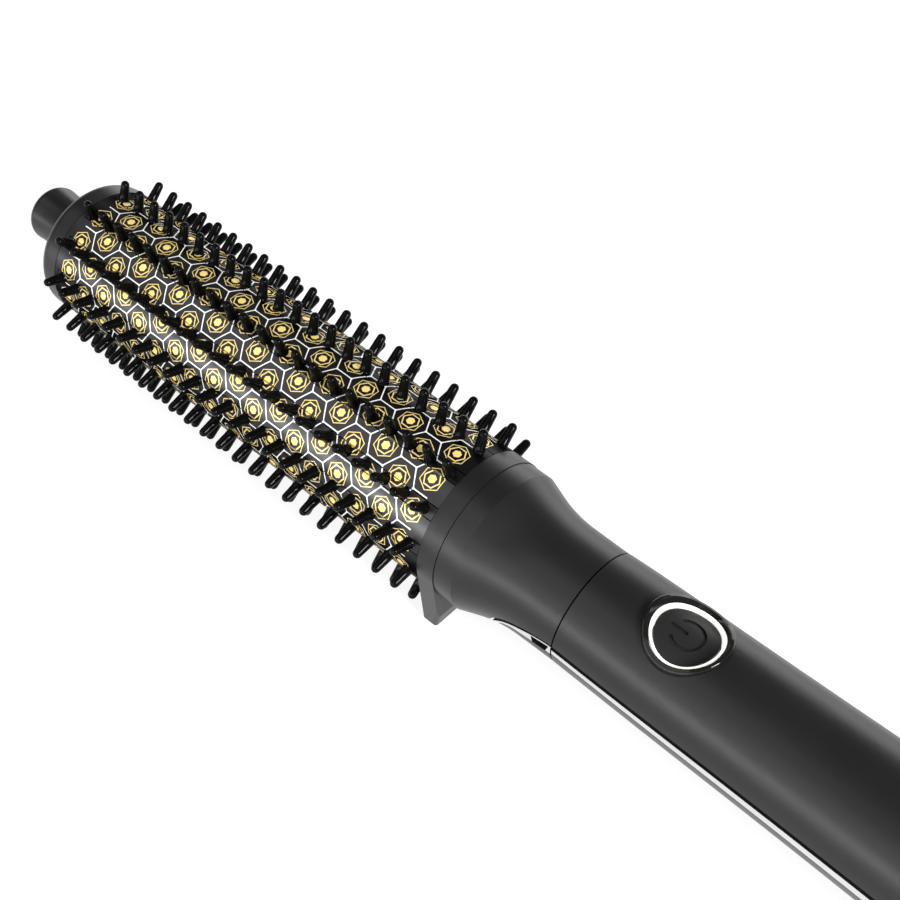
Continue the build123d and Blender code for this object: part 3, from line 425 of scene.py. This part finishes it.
FINISHES = {
    "moulded_black": moulded_plastic("satin_black_moulding", grey(0.008), 0.35, specular=0.29),
    "moulded_grey": grey_shell("satin_grey_moulding", grey(0.036), 0.42),
    "bristle_black": polished_plastic("polished_black_pins", grey(0.0015), 0.05, 0.065),
    "barrel_coating": printed_coat("charcoal_coat_with_gold_print"),
    "bright_trim": metal("bright_trim_plating", (0.66, 0.66, 0.67, 1), 0.20, (60, 3000, 3000), 0.10),
    "bezel_gloss": polished_plastic("polished_black_bezel", grey(0.005), 0.06, 0.29),
    "light_guide": glowing_guide("lit_ring"),
    "button_black": moulded_plastic("button_face", grey(0.012), 0.40, specular=0.29),
    "heatproof_moulding": moulded_plastic("heatproof_resin", (0.26, 0.22, 0.16, 1), 0.6),
    "spreader_metal": metal("extruded_aluminium", (0.78, 0.79, 0.80, 1), 0.32, (40, 2500, 2500), 0.3),
    "ceramic": moulded_plastic("fired_ceramic", (0.80, 0.77, 0.70, 1), 0.7),
    "amber_film": polished_plastic("amber_film", (0.50, 0.19, 0.02, 1), 0.2),
    "spring_steel": metal("blued_spring_steel", (0.40, 0.42, 0.46, 1), 0.28, (300, 2000, 2000), 0.2),
    "screw_steel": metal("plated_screw_steel", (0.62, 0.62, 0.63, 1), 0.3, (900, 900, 900), 0.2),
    "contact_metal": metal("satin_brass", (0.80, 0.58, 0.24, 1), 0.28, (900, 900, 900), 0.2),
    "sensor_bead": polished_plastic("dipped_bead", (0.30, 0.09, 0.02, 1), 0.18),
    "fuse_can": metal("drawn_can", (0.76, 0.76, 0.77, 1), 0.25, (60, 1800, 1800), 0.2),
    "board_laminate": polished_plastic("green_board", (0.012, 0.09, 0.03, 1), 0.35),
    "chip_black": moulded_plastic("chip_resin", grey(0.016), 0.6),
    "plunger_grey": moulded_plastic("plunger_resin", grey(0.35), 0.5),
    "light_chip": polished_plastic("light_chip", (0.85, 0.78, 0.42, 1), 0.2),
    "capacitor_case": polished_plastic("capacitor_case", (0.60, 0.34, 0.03, 1), 0.25),
    "terminal_green": moulded_plastic("terminal_resin", (0.02, 0.14, 0.05, 1), 0.45),
    "contact_carrier": moulded_plastic("contact_carrier", (0.62, 0.59, 0.50, 1), 0.5),
    "glass_sleeving": braided_sleeve("glass_fibre_sleeve", (0.78, 0.75, 0.66, 1)),
    "lead_jacket": moulded_plastic("lead_jacket", (0.05, 0.022, 0.010, 1), 0.5),
}


def dress_node(name, slot):
    """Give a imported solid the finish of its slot."""
    mesh = frame["nodes"][name].data
    mesh.materials.clear()
    mesh.materials.append(FINISHES[slot])


for entry in frame["record"]["subparts"]:
    dress_node(entry["node"], entry["material_slot"])


class Form(Nodes):
    """A Geometry Nodes tree with named inputs."""

    def __init__(self, name, inputs):
        super().__init__(bpy.data.node_groups.new(name, "GeometryNodeTree"))
        sockets = self.tree.interface
        sockets.new_socket("Geometry", in_out="OUTPUT", socket_type="NodeSocketGeometry")
        self.names = {}
        for label, kind in inputs.items():
            self.names[label] = sockets.new_socket(label, in_out="INPUT", socket_type=kind).identifier
        group = self.tree.nodes.new("NodeGroupInput")
        self.inputs = {label: Value(self, group.outputs[label]) for label in inputs}

    def output(self, geometry):
        out = self.tree.nodes.new("NodeGroupOutput")
        self.tree.links.new(geometry.socket, out.inputs[0])

    def vector(self, x, y, z):
        return self.add("ShaderNodeCombineXYZ", inputs={0: x, 1: y, 2: z})

    def position(self):
        split = self.add("ShaderNodeSeparateXYZ", inputs={0: self.add("GeometryNodeInputPosition")})
        return [Value(self, output) for output in split.socket.node.outputs]

    def moved(self, geometry, x, y, z):
        inputs = {"Geometry": geometry, "Position": self.vector(x, y, z)}
        return self.add("GeometryNodeSetPosition", inputs=inputs)

    def painted(self, geometry, label):
        inputs = {"Geometry": geometry, "Material": self.inputs[label]}
        return self.add("GeometryNodeSetMaterial", inputs=inputs)

    def grown(self, name, values):
        """A plain mesh object made by the tree with these input values."""
        holder = bpy.data.objects.new(name, bpy.data.meshes.new(name))
        bpy.context.scene.collection.objects.link(holder)
        modifier = holder.modifiers.new("form", "NODES")
        modifier.node_group = self.tree
        for label, value in values.items():
            modifier[self.names[label]] = value
        bpy.context.view_layer.update()
        graph = bpy.context.evaluated_depsgraph_get()
        mesh = bpy.data.meshes.new_from_object(holder.evaluated_get(graph))
        holder.modifiers.remove(modifier)
        mesh.name = name
        holder.data = mesh
        return holder


def on_body(piece, body, slot, *nodes):
    """Ride a piece on its body, in place of the given solids."""
    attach(piece, body)
    if nodes:
        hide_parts(*nodes)


def bristle_form():
    """Tree for one strip: a bar flush with the barrel and a row of round, domed pins."""
    form = Form("bristle_row", {
        "Pin count": "NodeSocketInt",
        "Pin pitch": "NodeSocketFloat",
        "First pin": "NodeSocketFloat",
        "Root radius": "NodeSocketFloat",
        "Tip radius": "NodeSocketFloat",
        "Barrel radius": "NodeSocketFloat",
        "Top radius": "NodeSocketFloat",
        "Bar start": "NodeSocketFloat",
        "Bar length": "NodeSocketFloat",
        "Turn": "NodeSocketFloat",
        "Pin material": "NodeSocketMaterial",
        "Bar material": "NodeSocketMaterial",
    })
    root_r, tip_r = form.inputs["Root radius"], form.inputs["Tip radius"]
    barrel_r, top_r = form.inputs["Barrel radius"], form.inputs["Top radius"]

    # One pin on the radial axis: flared foot, tapered shank, domed end
    stub = form.add("GeometryNodeMeshCylinder", {"fill_type": "NGON"}, {
        "Vertices": PIN_SIDES, "Side Segments": PIN_RINGS, "Radius": 1.0, "Depth": 1.0,
    })
    x, y, z = form.position()
    share = (z + 0.5) * PIN_RINGS
    dome_share = ((share - DOME_RING) / (PIN_RINGS - DOME_RING)).at_least(0.0)
    dome_turn = dome_share * (math.pi / 2 - DOME_POLE_GAP)
    shank_share = ((share - FLARE_RING) / (DOME_RING - FLARE_RING)).at_least(0.0).at_most(1.0)
    foot_share = share.at_most(1.0)
    shank_r = root_r + shank_share * (tip_r - root_r) + (1 - foot_share) * PIN_FLARE
    ring_r = shank_r * dome_turn.cosine()
    shank_top = top_r - tip_r
    height = (
        barrel_r - PIN_SINK
        + foot_share * PIN_FLARE_HEIGHT
        + shank_share * (shank_top - barrel_r - PIN_FLARE_HEIGHT + PIN_SINK)
        + dome_turn.sine() * tip_r
    )
    pin = form.moved(stub, x * ring_r, height, y * ring_r)
    pin = form.add("GeometryNodeSetShadeSmooth", inputs={"Geometry": pin})
    spots = form.add("GeometryNodeMeshLine", inputs={
        "Count": form.inputs["Pin count"],
        "Start Location": form.vector(form.inputs["First pin"], 0.0, 0.0),
        "Offset": form.vector(form.inputs["Pin pitch"], 0.0, 0.0),
    })
    pins = form.add("GeometryNodeInstanceOnPoints", inputs={"Points": spots, "Instance": pin})
    pins = form.painted(form.add("GeometryNodeRealizeInstances", inputs={"Geometry": pins}), "Pin material")

    # The bar, its top and bottom bent to the barrel's curve
    block = form.add("GeometryNodeMeshCube", inputs={
        "Size": form.vector(form.inputs["Bar length"], BAR_DEPTH, 2 * BAR_HALF_WIDTH),
        "Vertices X": 2, "Vertices Y": 2, "Vertices Z": BAR_CURVE_POINTS,
    })
    x, y, z = form.position()
    level = y + barrel_r - BAR_DEPTH / 2
    middle_x = form.inputs["Bar start"] + 0.5 * form.inputs["Bar length"]
    bar = form.painted(form.moved(block, x + middle_x, (level * level - z * z).root(), z), "Bar material")
    both = form.add("GeometryNodeJoinGeometry")
    for part in (pins, bar):
        form.tree.links.new(part.socket, both.socket.node.inputs[0])
    turned = form.add("GeometryNodeTransform", inputs={
        "Geometry": both, "Rotation": form.vector(form.inputs["Turn"], 0.0, 0.0),
    })
    form.output(form.add("GeometryNodeRealizeInstances", inputs={"Geometry": turned}))
    return form


def grow_bristles():
    """The twelve strips, each in place of its solid."""
    form = bristle_form()
    for index in range(STRIP_COUNT):
        number = str(index + 1).zfill(2)
        node = "bristle_strip_" + number
        low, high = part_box(node)
        row = form.grown("bristle_row_" + number, {
            "Pin count": PIN_COUNT,
            "Pin pitch": PIN_PITCH,
            "First pin": BARREL_BOX[0].x + FIRST_PIN_INSET,
            "Root radius": PIN_ROOT_R,
            "Tip radius": PIN_TIP_R,
            "Barrel radius": BARREL_R,
            "Top radius": PIN_TOP_R,
            "Bar start": low.x + BAR_END_GAP,
            "Bar length": high.x - low.x - BAR_END_GAP,
            "Turn": math.radians(FIRST_STRIP_DEG + index * 360 / STRIP_COUNT),
            "Pin material": FINISHES["bristle_black"],
            "Bar material": FINISHES["barrel_coating"],
        })
        row.data.set_sharp_from_angle(angle=math.radians(SHARP_EDGE_DEG))
        on_body(row, "brush", "bristle_black", node)


grow_bristles()


def place_camera():
    """The camera, at the photographed angle."""
    look = (CAMERA_AIM - CAMERA_PLACE).normalized()
    level_right = look.cross(Vector((0, 0, 1))).normalized()
    right = Matrix.Rotation(-CAMERA_ROLL, 3, look) @ level_right
    turn = Matrix((right, right.cross(look), -look)).transposed().to_4x4()
    data = bpy.data.cameras.new("camera")
    data.lens = CAMERA_LENS
    data.clip_start = 0.01
    data.clip_end = 20
    camera = bpy.data.objects.new("camera", data)
    bpy.context.scene.collection.objects.link(camera)
    camera.matrix_world = Matrix.Translation(CAMERA_PLACE) @ turn
    bpy.context.scene.camera = camera


place_camera()


def softbox(name, place, aim, size, brightness):
    """Rectangular lamp of an even brightness that faces a point."""
    data = bpy.data.lights.new(name, "AREA")
    data.shape = "RECTANGLE"
    data.size = size[0]
    data.size_y = size[1]
    data.energy = brightness * math.pi * size[0] * size[1]
    lamp = bpy.data.objects.new(name, data)
    bpy.context.scene.collection.objects.link(lamp)
    lamp.location = place
    lamp.rotation_mode = "QUATERNION"
    lamp.rotation_quaternion = (Vector(aim) - Vector(place)).to_track_quat("-Z", "Y")


softbox("front_softbox", (-0.35, -0.75, 0.055), (-0.35, 0.0, 0.0), (1.3, 0.15), 10.0)
softbox("front_fill_softbox", (-0.35, -0.72, 0.40), (-0.35, 0.0, 0.0), (1.3, 0.32), 2.0)
softbox("high_fill_softbox", (-0.60, -0.50, 0.72), (-0.60, 0.0, 0.0), (0.9, 0.40), 1.2)
softbox("top_softbox", (-0.78, -0.24, 0.80), (-0.78, 0.0, 0.0), (0.65, 0.28), 1.5)
softbox("rear_top_softbox", (-1.00, 0.43, 0.70), (-1.00, 0.0, 0.0), (0.5, 0.20), 0.62)
softbox("side_softbox", (0.60, -0.10, 0.45), (-0.25, 0.0, 0.0), (0.3, 0.3), 57.0)
softbox("back_softbox", (-0.50, 0.75, 0.17), (-0.50, 0.0, 0.0), (1.6, 0.35), 3.0)


def pale_floor():
    """White floor that keeps the brush's shadow and shines in reflections."""
    mesh = bpy.data.meshes.new("floor")
    corners = []
    for x, y in ((-1, -1), (1, -1), (1, 1), (-1, 1)):
        corners.append((x * FLOOR_REACH, y * FLOOR_REACH, FLOOR_Z - FLOOR_DROP))
    mesh.from_pydata(corners, [], [(0, 1, 2, 3)])
    floor = bpy.data.objects.new("floor", mesh)
    bpy.context.scene.collection.objects.link(floor)
    made = bpy.data.materials.new("pale_floor")
    made.use_nodes = True
    made.node_tree.nodes.clear()
    nodes = Nodes(made.node_tree)
    rays = nodes.add("ShaderNodeLightPath").socket.node
    camera_ray = Value(nodes, rays.outputs["Is Camera Ray"])
    glossy_ray = Value(nodes, rays.outputs["Is Glossy Ray"])
    through_ray = Value(nodes, rays.outputs["Is Transmission Ray"])
    seen = camera_ray.at_least(glossy_ray).at_least(through_ray)
    paper = nodes.add("ShaderNodeBsdfDiffuse", inputs={"Color": grey(0.27)})
    glow = nodes.add("ShaderNodeEmission", inputs={"Color": grey(1.0), "Strength": seen * 0.82})
    both = nodes.add("ShaderNodeAddShader", inputs={0: paper, 1: glow})
    nodes.add("ShaderNodeOutputMaterial", inputs={"Surface": both})
    mesh.materials.append(made)


pale_floor()


def studio_world():
    """Plain dim surroundings."""
    world = bpy.data.worlds.new("studio")
    bpy.context.scene.world = world
    world.use_nodes = True
    world.node_tree.nodes.clear()
    nodes = Nodes(world.node_tree)
    dim = nodes.add("ShaderNodeBackground", inputs={"Color": grey(1.0), "Strength": 0.15})
    nodes.add("ShaderNodeOutputWorld", inputs={"Surface": dim})


studio_world()
bpy.context.scene.view_settings.view_transform = "Standard"
